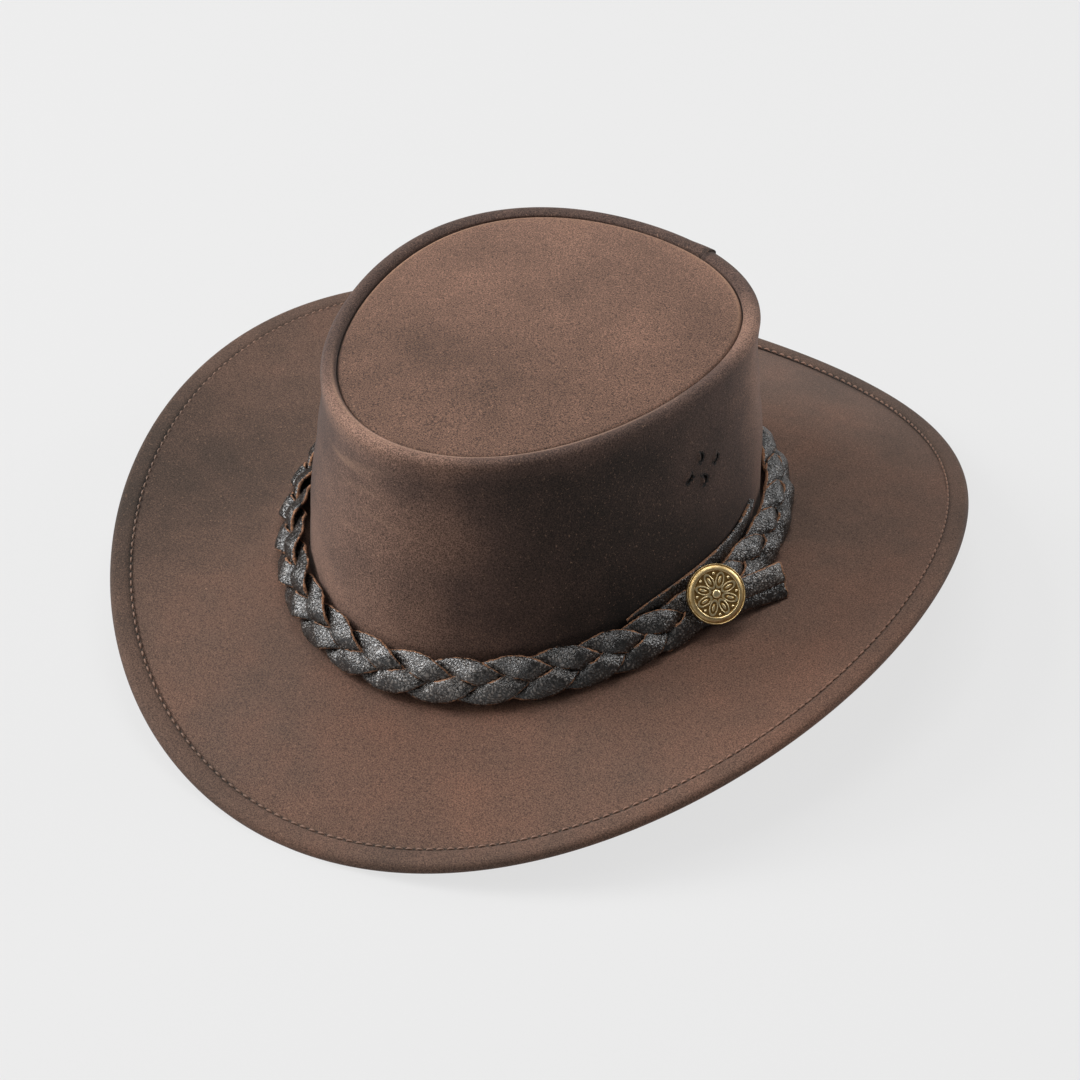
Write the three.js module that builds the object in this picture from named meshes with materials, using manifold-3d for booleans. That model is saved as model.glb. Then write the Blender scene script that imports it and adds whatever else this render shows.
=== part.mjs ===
// Bush hat of oiled leather: a crown wall with a set-in top panel, a wide brim with a turned hem,
// and a braided leather band that is fastened with a round brass concho.
// Millimetres. +Z is up, the front of the hat faces -Y and the wearer's left side faces +X.
// The origin is on the surface that the hat rests on, at the centre of the brim's outline.
// A turn is an angle seen from above: 0 at the back, a quarter turn at the wearer's left.

import * as THREE from 'three';
import { mergeVertices } from 'three/addons/utils/BufferGeometryUtils.js';
import Module from 'manifold-3d';

const wasm = await Module();
wasm.setup();

const degree = Math.PI / 180;
const fullTurn = 360 * degree;

// Facets once around each piece, and along one wave of a strand
const crownSteps = 58;
const panelSteps = 48;
const brimSteps = 64;
const bandSteps = 72;
const waveSteps = 12;

// Leather, and the gap that sewn or laid pieces keep
const crownLeather = 2;
const brimLeather = 2.2;
const laceLeather = 1.3;
const gap = 0.3;

// Crown: outer oval at the foot, and at the widest line of the rolled rim
const foot = { halfWidth: 82.6, halfLength: 99.7, egg: 0.043, square: 0, back: -0.85 };
const rim = { halfWidth: 73.9, halfLength: 94.7, egg: 0.163, square: 0.025, back: -2.8 };
const footHeight = 32.3;
const footWave = 3.15;
const rimHeight = 120.5;
const rimFrontLift = 4.7;
const rollRadius = 3.3;
const rollEnd = 150 * degree;
const lipDepth = 3;
const wallFold = 1;

// Top panel: height of its middle over its seam, and the round of its sewn edge
const panelDome = 3.6;
const panelEdge = 2.2;

// Brim: reach of its outline from the crown's centre, and the shape of its rolled edge
const reachFront = 175.1;
const reachBack = 191.6;
const reachSide = 160.6;
const outlineEgg = 0.93;
const outlineFull = 0.53;
const sideLift = 41.4;
const liftSkew = 1.6;
const liftFull = 2.55;
const sideSag = 3.5;
const endBow = 2.5;
const hemWidth = 8.2;
const hemRadius = 2.4;
const stitchDip = 0.5;
const stitchGroove = 0.6;
const hemCrest = 0.75;
const hemFlat = 4;
const hemFollow = 0.6;
const restFlat = 0.8;

// Back seam of the crown wall: the upper layer ends in a step
const lapTurn = 19.5 * degree;
const lapWidth = 9.5;
const lapThickness = 0.9;
const lapCut = 0.3 * degree;

// Vents: punched slits in each side of the crown
const ventLength = 4.2;
const ventWidth = 1;

// Braided band
const bandWaves = 11;
const strandWidth = 5.3;
const strandWiden = 0.1;
const bandSwing = 5.65;
const swingSharp = 0.04;
const bandDepth = 1.7;
const depthSharp = 0.22;
const strandRoll = 5 * degree;
const strandTwist = 15 * degree;
const bandOut = 6.9;
const bandUp = 7;
const bandLean = 53 * degree;
const bandPhase = 32 * degree;

// Concho, its post and the two lace ends under it
const conchoRadius = 11.3;
const conchoThick = 2;
const conchoRim = 1.6;
const conchoEdge = 0.3;
const conchoGround = 0.7;
const conchoTurn = 101.3 * degree;
const conchoUp = 2.9;
const conchoTip = 21 * degree;
const conchoTilt = 6 * degree;
const petalCount = 8;
const petalLength = 6;
const petalStart = 1.6;
const petalSink = 0.2;
const petalRaise = 0.5;
const postRadius = 1.4;
const tailWidth = 8;
const tailLength = 33;
const tailStart = 3.2;
const tailRise = 9.5 * degree;

// Loose lace end that lies on the crown wall above the band
const laceWidth = 5.4;
const laceHeight = 14.4;
const laceFrom = 117.5 * degree;
const laceTo = 73.5 * degree;
const laceTip = 9;
const lacePoint = 0.15;
const laceRise = 4.6;
const laceDip = 3.5;

// Crown wall: height as a share of the wall, and fold outwards as a share of wallFold
const wallRows = [
  { up: 0, fold: 0 },
  { up: 0.115, fold: 0.13 },
  { up: 0.24, fold: 0.43 },
  { up: 0.355, fold: 0.9 },
  { up: 0.48, fold: 0.72 },
  { up: 0.595, fold: -0.12 },
  { up: 0.72, fold: -0.29 },
  { up: 0.835, fold: -0.94 },
  { up: 0.9, fold: -0.87 },
  { up: 0.96, fold: -0.39 },
];

// Vents on one side: turn from the front-back line in degrees, height as a share of the wall,
// lean of the slit in degrees, and its bow as a share of its length
const ventRows = [
  { turn: 92.7, up: 0.712, lean: -29, bow: 0.3 },
  { turn: 87.1, up: 0.649, lean: -50, bow: 0.1 },
  { turn: 96.8, up: 0.646, lean: -60, bow: 0.05 },
  { turn: 92.4, up: 0.594, lean: -12, bow: 0.4 },
];

// Lace ends under the concho, the lower one first: layer over the band, distance down from the middle
// of the concho as a share of their width, length beyond it as a share of their length, and the turn
// away from the band in degrees
const tailRows = [
  { name: 'tail_lower', layer: 0, down: 0.775, reach: 0.985, splay: 14 },
  { name: 'tail_upper', layer: 1, down: 0.25, reach: 1, splay: 11 },
];

// Brim between the crown and the stitch line: distance out as a share of that width
const brimRows = [0, 0.08, 0.2, 0.4, 0.6, 0.8];

const mix = (from, to, share) => from + (to - from) * share;

// Point of an oval, seen from above, whose centre lies back from the crown's centre
const crownForward = (reachBack - reachFront) / 2;
function oval(size, turn, out) {
  const fuller = 1 + size.square * Math.sin(2 * turn) ** 2;
  const x = (size.halfWidth + out) * Math.sin(turn) * (1 + size.egg * Math.cos(turn)) * fuller;
  const y = (size.halfLength + out) * Math.cos(turn) * fuller + size.back - crownForward;
  return { x, y };
}

const footZ = (turn) => footHeight - footWave * Math.cos(2 * turn);
const rimZ = (turn) => rimHeight - rimFrontLift * Math.cos(turn);

// Step of the lapped back seam: full at the cut end of the upper layer, falling away towards the back
function lap(turn) {
  const along = (lapTurn - turn) * rim.halfWidth;
  return along >= 0 && along < lapWidth ? lapThickness * (1 - along / lapWidth) : 0;
}

// Point of the crown wall: a share of its height, millimetres outwards and millimetres above
function crownPoint(turn, up, out, above = 0) {
  const low = oval(foot, turn, out);
  const high = oval(rim, turn, out);
  const z = mix(footZ(turn), rimZ(turn), up) + above;
  return new THREE.Vector3(mix(low.x, high.x, up), mix(low.y, high.y, up), z);
}

function foldAt(up) {
  const above = wallRows.findIndex((row) => row.up > up);
  const next = above < 0 ? { up: 1, fold: 0 } : wallRows[above];
  const last = above < 0 ? wallRows[wallRows.length - 1] : wallRows[above - 1];
  return wallFold * mix(last.fold, next.fold, (up - last.up) / (next.up - last.up));
}

// Closed surface through rings of points. A looped one ends where it starts,
// and any other has both ends closed to the middle of their ring
function skin(rings, looped) {
  const sides = rings[0].length;
  const points = rings.flat();
  const faces = [];
  const last = looped ? rings.length : rings.length - 1;
  for (let i = 0; i < last; i += 1) {
    const here = i * sides;
    const there = ((i + 1) % rings.length) * sides;
    for (let j = 0; j < sides; j += 1) {
      const k = (j + 1) % sides;
      faces.push(here + j, here + k, there + k, here + j, there + k, there + j);
    }
  }
  if (!looped) {
    const ends = [rings[0], rings[rings.length - 1]];
    ends.forEach((ring, end) => {
      const first = end * (rings.length - 1) * sides;
      const middle = points.length;
      points.push(ring.reduce((sum, p) => sum.add(p), new THREE.Vector3()).divideScalar(sides));
      for (let j = 0; j < sides; j += 1) {
        const k = (j + 1) % sides;
        const pair = end === 0 ? [k, j] : [j, k];
        faces.push(first + pair[0], first + pair[1], middle);
      }
    });
  }
  return facedOut(points, faces);
}

// Geometry whose faces point out of the volume that they enclose
function facedOut(points, faces) {
  let volume = 0;
  for (let i = 0; i < faces.length; i += 3) {
    const [a, b, c] = [points[faces[i]], points[faces[i + 1]], points[faces[i + 2]]];
    volume += a.dot(b.clone().cross(c));
  }
  const index = volume > 0 ? faces : faces.slice().reverse();
  const geometry = new THREE.BufferGeometry();
  geometry.setAttribute('position', new THREE.Float32BufferAttribute(points.flatMap((p) => p.toArray()), 3));
  geometry.setIndex(index);
  geometry.computeVertexNormals();
  return geometry;
}

const evenTurns = (steps) => Array.from({ length: steps }, (_, i) => (i / steps) * fullTurn);

// A section carried once around the crown
function around(turns, sectionAt) {
  return skin(turns.map(sectionAt), true);
}

function toSolid(geometry) {
  const plain = geometry.clone();
  plain.deleteAttribute('normal');
  plain.deleteAttribute('uv');
  const merged = mergeVertices(plain, 1e-5);
  const vertProperties = new Float32Array(merged.attributes.position.array);
  const triVerts = new Uint32Array(merged.index.array);
  return new wasm.Manifold(new wasm.Mesh({ numProp: 3, vertProperties, triVerts }));
}

function toGeometry(solid) {
  const mesh = solid.getMesh();
  const geometry = new THREE.BufferGeometry();
  geometry.setAttribute('position', new THREE.BufferAttribute(new Float32Array(mesh.vertProperties), 3));
  geometry.setIndex(new THREE.BufferAttribute(new Uint32Array(mesh.triVerts), 1));
  geometry.computeVertexNormals();
  return geometry;
}

function cutAway(geometry, cutters) {
  return toGeometry(cutters.reduce((solid, cutter) => solid.subtract(toSolid(cutter)), toSolid(geometry)));
}

// Crown wall: one layer of leather, rolled over at the rim and turned down inside the seam
function crownSection(turn) {
  const step = lap(turn);
  const roll = (angle, radius) => crownPoint(
    turn, 1, step - rollRadius + radius * Math.cos(angle), radius * Math.sin(angle) + step / 2);
  const angles = [0, 0.25, 0.5, 0.75, 1].map((share) => share * rollEnd);
  const inner = rollRadius - crownLeather;
  const lipOut = -rollRadius + rollRadius * Math.cos(rollEnd);
  return [
    ...wallRows.map((row) => crownPoint(turn, row.up, wallFold * row.fold + step * row.up)),
    ...angles.map((angle) => roll(angle, rollRadius)),
    crownPoint(turn, 1, lipOut, -lipDepth),
    crownPoint(turn, 1, lipOut + crownLeather, -lipDepth),
    ...[1, 0.5].map((share) => roll(share * rollEnd, inner)),
    ...wallRows.filter((row, i) => i % 2 === 1).reverse()
      .map((row) => crownPoint(turn, row.up, wallFold * row.fold - crownLeather)),
    crownPoint(turn, 0, -crownLeather),
  ];
}

// A crescent slit, standing across the wall
function ventCutter(side, row) {
  const half = ventLength / 2;
  const slit = new THREE.Shape();
  slit.moveTo(0, -half);
  const bow = 2 * row.bow * ventLength;
  slit.quadraticCurveTo(bow + ventWidth, 0, 0, half);
  slit.quadraticCurveTo(bow - ventWidth, 0, 0, -half);
  const depth = 4 * crownLeather;
  const cutter = new THREE.ExtrudeGeometry(slit, { depth, bevelEnabled: false, curveSegments: 4 });
  cutter.translate(0, 0, -depth / 2);
  const turn = side * row.turn * degree;
  const centre = crownPoint(turn, row.up, foldAt(row.up) - crownLeather / 2);
  const outwards = new THREE.Vector3(Math.sin(turn), Math.cos(turn), 0);
  const up = new THREE.Vector3(0, 0, 1).applyAxisAngle(outwards, side * row.lean * degree);
  const across = up.clone().cross(outwards);
  return cutter.applyMatrix4(new THREE.Matrix4().makeBasis(across, up, outwards).setPosition(centre));
}

function crownSide() {
  const cutters = ventRows.flatMap((row) => [ventCutter(1, row), ventCutter(-1, row)]);
  const lapSides = [lapTurn, lapTurn + lapCut];
  const turns = [...evenTurns(crownSteps), ...lapSides].sort((a, b) => a - b);
  return cutAway(around(turns, crownSection), cutters);
}

// Top panel: a domed sheet whose edge is rounded and turned down beside the lip of the wall
function panelRing(share, out, above) {
  return Array.from({ length: panelSteps }, (_, i) => {
    const turn = (i / panelSteps) * fullTurn;
    const edge = oval(rim, turn, out);
    const y = mix(rim.back - crownForward, edge.y, share);
    const z = mix(rimHeight, rimZ(turn), share) + above;
    return new THREE.Vector3(edge.x * share, y, z);
  });
}

function crownTop() {
  const edgeOut = -rollRadius + rollRadius * Math.cos(rollEnd) - gap;
  const seam = rollRadius * Math.sin(rollEnd);
  const dome = (share) => seam + panelDome * (1 - share ** 2);
  const corner = (angle) => ({
    out: edgeOut - panelEdge * (1 - Math.cos(angle)),
    above: seam - panelEdge * (1 - Math.sin(angle)),
  });
  const flat = edgeOut - panelEdge;
  const inside = edgeOut - crownLeather;
  const shares = [0.3, 0.6, 0.85];
  const rounded = [90, 55, 20].map((angle) => corner(angle * degree));
  return skin([
    ...shares.map((share) => panelRing(share, flat, dome(share))),
    ...rounded.map((edge) => panelRing(1, edge.out, edge.above)),
    panelRing(1, edgeOut, -lipDepth),
    panelRing(1, inside, -lipDepth),
    panelRing(1, inside, seam - panelEdge),
    ...shares.toReversed().map((share) => panelRing(share, inside, dome(share) - crownLeather)),
  ], false);
}

// Brim outline: the distance and height of its outer edge at each turn
function edgeReach(turn) {
  const ends = (reachFront + reachBack) / 4;
  return ends + reachSide / 2 + crownForward * Math.cos(turn)
    + (ends - reachSide / 2) * Math.cos(2 * turn)
    + outlineEgg * (Math.cos(3 * turn) - Math.cos(turn))
    + outlineFull * (Math.cos(4 * turn) - 1);
}

function edgeHeight(turn) {
  return hemRadius - restFlat + (sideLift / 2) * (1 - Math.cos(2 * turn))
    + liftSkew * (Math.cos(turn) - Math.cos(3 * turn))
    + (liftFull / 2) * (1 - Math.cos(4 * turn));
}

// Point of the brim's upper face: a share of the way from the crown to the stitch line
function brimPoint(turn, share, above) {
  const near = oval(foot, turn, -crownLeather);
  const reach = edgeReach(turn) - hemWidth;
  const nearZ = footZ(turn) - gap;
  const farZ = edgeHeight(turn) + hemRadius - stitchDip;
  const bow = mix(endBow, -sideSag, Math.sin(turn) ** 2) * 4 * share * (1 - share);
  const x = mix(near.x, reach * Math.sin(turn), share);
  const y = mix(near.y, reach * Math.cos(turn) - crownForward, share);
  return new THREE.Vector3(x, y, mix(nearZ, farZ, share) + bow + above);
}

// Point of the hem: millimetres in from the outer edge and above the middle of the hem.
// The leather is flat where it would pass below the surface that it rests on
function hemPoint(turn, inset, above) {
  const reach = edgeReach(turn) - inset;
  const z = Math.max(edgeHeight(turn) + above + hemSlope(turn) * (inset - hemRadius), 0);
  return new THREE.Vector3(reach * Math.sin(turn), reach * Math.cos(turn) - crownForward, z);
}

// Rise of the hem for each millimetre inwards: a part of the brim's own slope
function hemSlope(turn) {
  const rise = footZ(turn) - edgeHeight(turn);
  const run = edgeReach(turn) - Math.hypot(oval(foot, turn, 0).x, oval(foot, turn, 0).y + crownForward);
  return hemFollow * rise / run;
}

function brimSection(turn) {
  const beadAngles = [90, 45, 0, -45, -90];
  const shares = brimRows;
  return [
    ...shares.map((share) => brimPoint(turn, share, 0)),
    hemPoint(turn, hemWidth + stitchGroove, hemRadius - stitchDip),
    hemPoint(turn, hemWidth - stitchGroove, hemRadius - stitchDip),
    hemPoint(turn, hemWidth * hemCrest, hemRadius),
    ...beadAngles.map((angle) => hemPoint(
      turn, hemRadius * (1 - Math.cos(angle * degree)), hemRadius * Math.sin(angle * degree))),
    hemPoint(turn, hemFlat, -hemRadius),
    hemPoint(turn, hemWidth + stitchGroove, -hemRadius),
    hemPoint(turn, hemWidth + stitchGroove, hemRadius - stitchDip - brimLeather),
    ...shares.toReversed().map((share) => brimPoint(turn, share, -brimLeather)),
  ];
}

// Band: its middle line runs once around the crown, starting and ending under the concho
function bandMiddle(turn) {
  const flat = oval(foot, turn, bandOut);
  return new THREE.Vector3(flat.x, flat.y, footZ(turn) + bandUp);
}
const bandLine = new THREE.CatmullRomCurve3(
  Array.from({ length: bandSteps }, (_, i) => bandMiddle(conchoTurn - (i / bandSteps) * fullTurn)), true);
bandLine.arcLengthDivisions = 10 * bandSteps;

// Frame of the band: along it, across it towards its upper edge, and out of its face
function bandFrame(share) {
  const along = bandLine.getTangentAt(share % 1);
  const out = along.clone().cross(new THREE.Vector3(0, 0, 1)).normalize();
  const face = out.clone().multiplyScalar(Math.sin(bandLean));
  face.addScaledVector(new THREE.Vector3(0, 0, 1), Math.cos(bandLean));
  face.addScaledVector(along, -face.dot(along)).normalize();
  const across = face.clone().cross(along).normalize();
  return { middle: bandLine.getPointAt(share % 1), along, across, face };
}

// Path of one strand: it swings across the band once a wave and dives twice
function strandPoint(share, strand) {
  const phase = bandPhase + share * bandWaves * fullTurn + (strand * fullTurn) / 3;
  const frame = bandFrame(share);
  const swing = bandSwing * (Math.sin(phase) + swingSharp * Math.sin(3 * phase));
  const depth = -bandDepth * (Math.sin(2 * phase) + depthSharp * Math.sin(4 * phase));
  return frame.middle.clone().addScaledVector(frame.across, swing).addScaledVector(frame.face, depth);
}

function strandSection(share, strand) {
  const phase = bandPhase + share * bandWaves * fullTurn + (strand * fullTurn) / 3;
  const step = 0.1 / (bandWaves * waveSteps);
  const middle = strandPoint(share, strand);
  const ahead = strandPoint(share + step, strand);
  const along = ahead.sub(strandPoint(share - step + 1, strand)).normalize();
  const face = bandFrame(share).face;
  const across = along.clone().cross(face).negate().normalize();
  const roll = -strandRoll * Math.cos(phase) - strandTwist * Math.cos(3 * phase);
  const flat = face.clone().addScaledVector(along, -face.dot(along)).normalize();
  const side = across.clone().multiplyScalar(Math.cos(roll)).addScaledVector(flat, Math.sin(roll));
  const top = flat.clone().multiplyScalar(Math.cos(roll)).addScaledVector(across, -Math.sin(roll));
  const half = (strandWidth / 2) * (1 - strandWiden * Math.sin(2 * phase));
  const corners = [
    { across: -1, up: -1 }, { across: -1, up: 1 }, { across: 1, up: 1 }, { across: 1, up: -1 },
  ];
  return corners.map((corner) => middle.clone()
    .addScaledVector(side, corner.across * half)
    .addScaledVector(top, corner.up * laceLeather / 2));
}

function strand(number, holes) {
  const steps = bandWaves * waveSteps;
  const rings = Array.from({ length: steps }, (_, i) => strandSection(i / steps, number));
  return cutAway(skin(rings, true), holes);
}

// Concho frame: its face tips towards the front of the hat and leans up
const seat = bandFrame(0);
const bandHalf = bandDepth + laceLeather / 2;
const tailSlack = gap + Math.sin(tailRise) * tailStart;
const stack = bandHalf + tailSlack + 2 * (laceLeather + gap);
const tipSlack = Math.tan(conchoTip) * tailStart + (Math.tan(conchoTilt) * tailWidth) / 2;
const conchoLift = stack + tipSlack + conchoThick;
const conchoFace = seat.face.clone()
  .applyAxisAngle(seat.across, -conchoTip)
  .applyAxisAngle(seat.along, -conchoTilt);
const conchoCentre = seat.middle.clone()
  .addScaledVector(seat.face, conchoLift)
  .addScaledVector(seat.across, conchoUp);

function conchoMatrix() {
  const right = seat.along.clone().addScaledVector(conchoFace, -seat.along.dot(conchoFace)).normalize();
  const up = conchoFace.clone().cross(right);
  return new THREE.Matrix4().makeBasis(right, up, conchoFace).setPosition(conchoCentre);
}

function concho() {
  const inner = conchoRadius - conchoRim;
  const ground = -conchoGround;
  const postLength = conchoLift + bandHalf - conchoThick;
  const profile = [
    [0, -conchoThick - postLength], [postRadius, -conchoThick - postLength], [postRadius, -conchoThick],
    [conchoRadius - conchoEdge, -conchoThick], [conchoRadius, -conchoThick / 2],
    [conchoRadius - conchoEdge, -conchoEdge], [conchoRadius - conchoRim / 2, 0],
    [inner, -conchoEdge], [inner - conchoEdge, ground], [0, ground],
  ];
  const disc = new THREE.LatheGeometry(profile.map(([r, h]) => new THREE.Vector2(r, h)), 30);
  disc.rotateX(90 * degree);
  const petals = Array.from({ length: petalCount }, (_, i) => {
    const outline = new THREE.Shape();
    outline.absellipse(0, 0, petalLength / 2, petalLength / 5, 0, fullTurn);
    const petal = new THREE.ExtrudeGeometry(outline, {
      depth: petalRaise + petalSink, bevelEnabled: false, curveSegments: 3,
    });
    petal.translate(petalLength / 2 + petalStart, 0, ground - petalSink);
    return petal.rotateZ((i / petalCount) * fullTurn);
  });
  const whole = petals.reduce((solid, petal) => solid.add(toSolid(petal)), toSolid(disc));
  return toGeometry(whole).applyMatrix4(conchoMatrix());
}

// Hole that the post of the concho passes through
function postHole() {
  const length = 6 * conchoThick + 2 * conchoLift;
  const hole = new THREE.CylinderGeometry(postRadius + gap, postRadius + gap, length, 12);
  hole.rotateX(90 * degree);
  hole.translate(0, 0, -length / 2);
  return hole.applyMatrix4(conchoMatrix());
}

// A lace end under the concho: a flat strip that runs straight on where the band curves away
function tail(row) {
  const lift = bandHalf + tailSlack + laceLeather / 2 + row.layer * (laceLeather + gap);
  const along = seat.along.clone()
    .applyAxisAngle(seat.across, -tailRise)
    .applyAxisAngle(seat.face, -row.splay * degree);
  const face = seat.face.clone().addScaledVector(along, -seat.face.dot(along)).normalize();
  const across = face.clone().cross(along);
  const length = row.reach * tailLength + tailStart;
  const strip = new THREE.BoxGeometry(length, tailWidth, laceLeather);
  strip.translate(length / 2 - tailStart, 0, 0);
  const place = seat.middle.clone()
    .addScaledVector(seat.face, lift)
    .addScaledVector(seat.across, conchoUp - row.down * tailWidth);
  strip.applyMatrix4(new THREE.Matrix4().makeBasis(along, across, face).setPosition(place));
  return cutAway(strip, [postHole()]);
}

// Loose lace end on the wall: level with the band, rising to a point
function laceTail() {
  const steps = 24;
  const rows = Array.from({ length: steps + 1 }, (_, i) => {
    const share = i / steps;
    const turn = mix(laceFrom, laceTo, share);
    const left = (1 - share) * (laceFrom - laceTo) * foot.halfLength;
    const width = laceWidth * Math.min(1, lacePoint + left / laceTip);
    const rise = laceRise * share ** 5 - laceDip * (1 - share) ** 10;
    const wallHeight = rimZ(turn) - footZ(turn);
    const low = (laceHeight + rise - width / 2) / wallHeight;
    const high = low + width / wallHeight;
    return [
      crownPoint(turn, low, foldAt(low) + gap),
      crownPoint(turn, low, foldAt(low) + gap + laceLeather),
      crownPoint(turn, high, foldAt(high) + gap + laceLeather),
      crownPoint(turn, high, foldAt(high) + gap),
    ];
  });
  return skin(rows, false);
}

// Finishes
const crownFinish = { color: 0x4a3328, roughness: 0.78, metalness: 0 };
const panelFinish = { color: 0x553a2d, roughness: 0.8, metalness: 0 };
const brimFinish = { color: 0x53372c, roughness: 0.8, metalness: 0 };
const bandFinish = { color: 0x2a2523, roughness: 0.5, metalness: 0 };
const brassFinish = { color: 0x9a7b42, roughness: 0.35, metalness: 1 };

const hat = new THREE.Group();
function add(name, geometry, finish) {
  const mesh = new THREE.Mesh(geometry, new THREE.MeshStandardMaterial(finish));
  mesh.name = name;
  hat.add(mesh);
}

add('crown_side', crownSide(), crownFinish);
add('crown_top', crownTop(), panelFinish);
add('brim', around(evenTurns(brimSteps), brimSection), brimFinish);
for (let i = 0; i < 3; i += 1) {
  add(`braid_strand_${i + 1}`, strand(i, [postHole()]), bandFinish);
}
add('lace_tail', laceTail(), bandFinish);
for (const row of tailRows) {
  add(row.name, tail(row), bandFinish);
}
add('concho', concho(), brassFinish);

export default hat;
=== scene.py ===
"""Bush hat of oiled leather with a braided band and a brass concho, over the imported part.

Lengths are millimetres until a piece is placed, and metres in the finished meshes.
A turn is an angle seen from above: 0 at the back of the hat, a quarter turn at the wearer's left.
"""

import math

import bpy
import numpy as np
from mathutils import Matrix, Vector


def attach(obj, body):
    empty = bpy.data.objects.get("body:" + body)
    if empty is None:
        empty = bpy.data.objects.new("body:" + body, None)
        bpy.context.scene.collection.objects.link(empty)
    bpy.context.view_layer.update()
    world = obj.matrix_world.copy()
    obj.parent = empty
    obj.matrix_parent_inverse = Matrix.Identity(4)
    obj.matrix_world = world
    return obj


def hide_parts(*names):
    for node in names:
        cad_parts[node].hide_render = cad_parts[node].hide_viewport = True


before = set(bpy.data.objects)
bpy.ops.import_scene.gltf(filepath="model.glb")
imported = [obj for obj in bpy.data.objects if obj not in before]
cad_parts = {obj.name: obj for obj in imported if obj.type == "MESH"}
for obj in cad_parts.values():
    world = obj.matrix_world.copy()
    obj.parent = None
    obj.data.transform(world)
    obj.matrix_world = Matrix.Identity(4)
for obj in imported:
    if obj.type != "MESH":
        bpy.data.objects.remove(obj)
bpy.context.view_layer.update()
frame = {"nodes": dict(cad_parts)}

MM = 0.001
FULL_TURN = 2 * math.pi
# Corners of a sheet that lie closer than this, in metres, are one
SEWN = 0.000005

# Leather, and the gap that sewn or laid pieces keep
CROWN_LEATHER = 2.0
BRIM_LEATHER = 2.2
LACE_LEATHER = 1.3
GAP = 0.3

# Crown: ovals at the foot and at the rolled rim: half width, half length, egg, square, shift back
FOOT = (82.6, 99.7, 0.043, 0.0, -0.85)
RIM = (73.9, 94.7, 0.163, 0.025, -2.8)
FOOT_HEIGHT = 32.3
FOOT_WAVE = 3.15
RIM_HEIGHT = 120.5
RIM_TILT = 4.7
ROLL_RADIUS = 3.3
ROLL_END = math.radians(150)
ROLL_FALL_BACK = 0.3
LIP_DEPTH = 3.0
PANEL_DOME = 3.6
PANEL_EDGE = 2.2
LAP_TURN = math.radians(19.5)
LAP_WIDTH = 9.5
LAP_STEP = 0.9
LAP_CUT = 0.4

# Brim
REACH_FRONT = 175.1
REACH_BACK = 191.6
REACH_SIDE = 160.6
OUTLINE_EGG = 0.93
OUTLINE_FULL = 0.53
SIDE_LIFT = 41.4
LIFT_SKEW = 1.6
LIFT_FULL = 2.55
SIDE_SAG = 3.5
END_BOW = 2.5
HEM_WIDTH = 8.2
HEM_RADIUS = 2.4
STITCH_DIP = 0.5
REST_FLAT = 0.8
STITCH_PITCH = 3.8
STITCH_RADIUS = 0.42
STITCH_LENGTH = 2.7
# Face of the brim, 1 above and -1 below, and how far its stitches lie from the groove's bottom
STITCH_LIFTS = ((1, 0.5), (-1, -4.1))
GROOVE_DEPTH = STITCH_DIP * 1.5
CROWN_FORWARD = (REACH_BACK - REACH_FRONT) / 2

# Band, concho and lace ends
BAND_WAVES = 11
WAVE_COLUMNS = 90
STRAND_WIDTH = 8.0
STRAND_THICK = 1.5
BAND_SWING = 4.9
BAND_DEPTH = 2.1
BAND_OUT = 6.9
BAND_UP = 7.0
BAND_LEAN = math.radians(53)
BAND_PHASE = math.radians(32)
STRAND_ROLL = math.radians(5)
STRAND_TWIST = math.radians(15)
CONCHO_RADIUS = 11.3
CONCHO_THICK = 2.0
CONCHO_TURN = math.radians(101.3)
CONCHO_UP = 2.9
CONCHO_TIP = math.radians(21)
CONCHO_TILT = math.radians(6)
TAIL_WIDTH = 8.0
TAIL_START = 3.2
TAIL_RISE = math.radians(9.5)
LACE_COLUMNS = 90
LACE_FROM = math.radians(119)
LACE_TO = math.radians(73.5)
LACE_WIDTH = 8.5
LACE_HEIGHT = 17.1

# Crown wall: height as a share of the wall, and fold outwards in millimetres
WALL_FOLDS = (
    (0, 0), (0.115, 0.13), (0.24, 0.43), (0.355, 0.9), (0.48, 0.72), (0.595, -0.12),
    (0.72, -0.29), (0.835, -0.94), (0.9, -0.87), (0.96, -0.39), (1, 0),
)


def mix(start, end, share):
    return start + (end - start) * share


def smooth_step(low, high, value):
    share = min(max((value - low) / (high - low), 0), 1)
    return share * share * (3 - 2 * share)


def bell(value, middle, spread):
    """A soft bump of height 1 round a middle."""
    return math.exp(-(((value - middle) / spread) ** 2))


def turn_from(turn, middle):
    """How far a turn lies from another, between minus and plus half a turn."""
    return (turn - middle + math.pi) % FULL_TURN - math.pi


def near_turn(turn, degrees, spread):
    """A soft bump of height 1 round a turn in degrees."""
    return bell(turn_from(turn, math.radians(degrees)), 0, spread)


# Shape of the leather
def oval(size, turn, out):
    half_width, half_length, egg, square, back = size
    fuller = 1 + square * math.sin(2 * turn) ** 2
    x = (half_width + out) * math.sin(turn) * (1 + egg * math.cos(turn)) * fuller
    y = (half_length + out) * math.cos(turn) * fuller + back - CROWN_FORWARD
    return x, y


def foot_z(turn):
    return FOOT_HEIGHT - FOOT_WAVE * math.cos(2 * turn)


def rim_z(turn):
    return RIM_HEIGHT - RIM_TILT * math.cos(turn)


def lap(turn):
    """Step of the lapped back seam: full at the cut end, falling away towards the back."""
    along = turn_from(LAP_TURN, turn) * RIM[0]
    if along < -LAP_CUT / 2 or along > LAP_WIDTH:
        return 0
    return LAP_STEP * (1 - max(along, 0) / LAP_WIDTH)


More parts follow.
